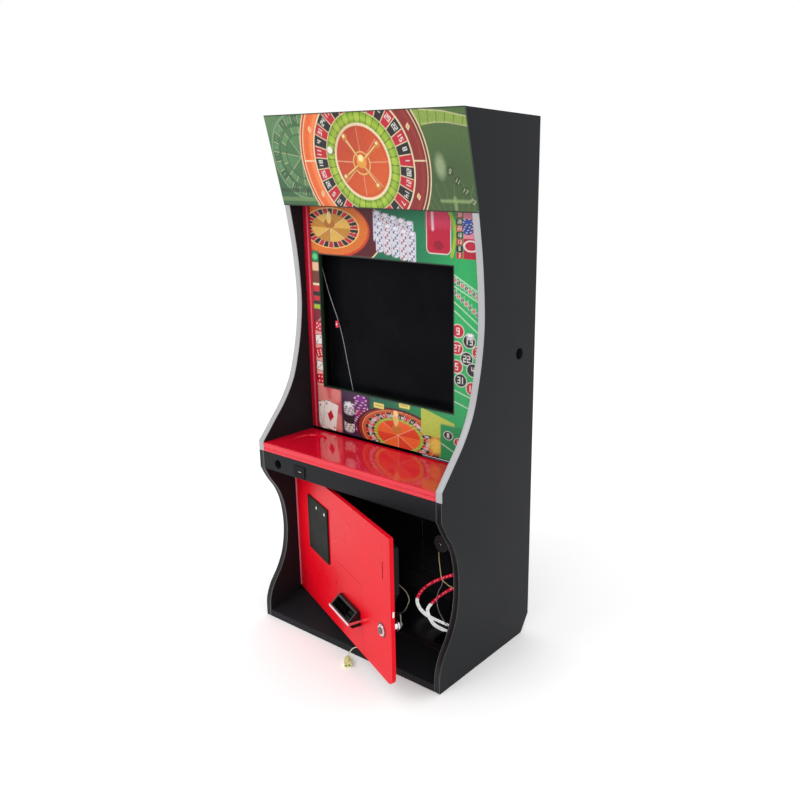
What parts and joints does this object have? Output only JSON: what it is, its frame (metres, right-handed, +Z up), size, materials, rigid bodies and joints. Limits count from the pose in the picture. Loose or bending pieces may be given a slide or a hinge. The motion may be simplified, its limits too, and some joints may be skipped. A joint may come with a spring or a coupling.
{
  "type": "video poker machine",
  "caption": "Upright casino game cabinet with a leaning printed header, screen window, red deck, curved side panels, hinged front door with payout cup and cam lock, and a rear door.",
  "frame": {"origin": "centre of the base's footprint, on the floor", "axes": "+Z up, -Y towards the player, +X to the player's right"},
  "size_m": [0.62, 0.475, 1.317],
  "materials": {
    "black_laminate": "matt charcoal laminate on board",
    "silver_molding": "satin silver plastic moulding",
    "black_molding": "black plastic moulding with a light bead",
    "printed_board": "glossy printed film on board",
    "lamp_white": "white",
    "raw_wood": "bare softwood",
    "black_plastic": "moulded black",
    "screen_glass": "dark screen",
    "zinc_steel": "zinc plated",
    "deck_red": "glossy red film on board",
    "black_steel": "black powder coat",
    "grey_metal": "grey sheet steel",
    "disc_brass": "machined",
    "circuit_board": "solder mask green",
    "red_strip": "red and white flexible strip",
    "yellow_lead": "pale yellow insulation",
    "grey_lead": "grey insulation",
    "pale_lead": "pale insulation",
    "clear_connector": "pale yellow-green nylon",
    "door_red": "glossy red paint",
    "chrome": "polished",
    "gloss_black": "glossy black"
  },
  "bodies": {
    "cabinet": {"side_panel_left": "black_laminate", "side_panel_right": "black_laminate", "silver_t_molding_left": "silver_molding", "silver_t_molding_right": "silver_molding", "black_t_molding_left": "black_molding", "black_t_molding_right": "black_molding", "top_panel": "black_laminate", "rear_panel": "black_laminate", "rear_stiles": "black_laminate", "rear_skirt": "black_laminate", "header_panel": "printed_board", "header_lamp": "lamp_white", "art_panel": "printed_board", "inner_battens": "raw_wood", "monitor_chassis": "black_plastic", "monitor_screen": "screen_glass", "monitor_brackets": "zinc_steel", "deck_board": "deck_red", "deck_nosing": "deck_red", "apron_rail": "black_laminate", "port_plate": "black_plastic", "soffit_board": "black_laminate", "speaker": "black_plastic", "base_board": "black_laminate", "kick_ramp": "black_laminate", "door_sill": "black_laminate", "wall_hinge_leaf": "door_red", "hinge_pin": "door_red", "door_stop": "black_laminate", "latch_keeper": "zinc_steel", "harness_bracket": "black_steel", "hopper_body": "grey_metal", "hopper_motor": "zinc_steel", "power_supply": "grey_metal", "game_board": "circuit_board", "mains_inlet": "black_plastic", "coin_box": "black_steel", "led_strip_outer": "red_strip", "led_strip_inner": "red_strip", "yellow_lead": "yellow_lead", "grey_leads": "grey_lead", "monitor_lead": "grey_lead", "loose_lead": "pale_lead", "loose_connector": "clear_connector", "rear_hinges": "zinc_steel"},
    "main_door": {"door_panel": "door_red", "door_hinge_leaf": "door_red", "blanking_plate": "black_steel", "door_screws": "chrome", "payout_panel": "door_red", "coin_cup": "gloss_black", "cup_rim": "chrome", "coin_acceptor": "black_plastic", "lock_body": "chrome"},
    "door_lock": {"lock_cam": "chrome"},
    "payout_flap": {"cup_flap": "gloss_black"},
    "back_door": {"rear_door": "black_laminate", "rear_lock_body": "chrome"},
    "back_lock": {"rear_lock_cam": "chrome"},
    "hopper_rotor": {"hopper_disc": "disc_brass"}
  },
  "joints": [
    {"name": "main_door_hinge", "type": "hinge", "parent": "cabinet", "child": "main_door", "pos_m": [-0.2892, -0.0775, 0.235], "axis": [0, 0, -1], "range_deg": [-21, 65]},
    {"name": "door_lock_turn", "type": "hinge", "parent": "main_door", "child": "door_lock", "pos_m": [0.2109, -0.24805, 0.172], "axis": [0.3584, 0.9336, 0], "range_deg": [0, 90]},
    {"name": "payout_flap_swing", "type": "hinge", "parent": "main_door", "child": "payout_flap", "pos_m": [0.03845, -0.20756, 0.1555], "axis": [-0.9336, 0.3584, 0], "range_deg": [0, 35]},
    {"name": "back_door_hinge", "type": "hinge", "parent": "cabinet", "child": "back_door", "pos_m": [-0.161, 0.1896, 0.27], "axis": [0, 0, 1], "range_deg": [0, 110]},
    {"name": "back_lock_turn", "type": "hinge", "parent": "back_door", "child": "back_lock", "pos_m": [0.135, 0.175, 0.27], "axis": [0, 1, 0], "range_deg": [0, 90]},
    {"name": "hopper_spin", "type": "hinge", "parent": "cabinet", "child": "hopper_rotor", "pos_m": [-0.215, -0.024, 0.092], "axis": [0, 1, 0], "continuous": true}
  ]
}
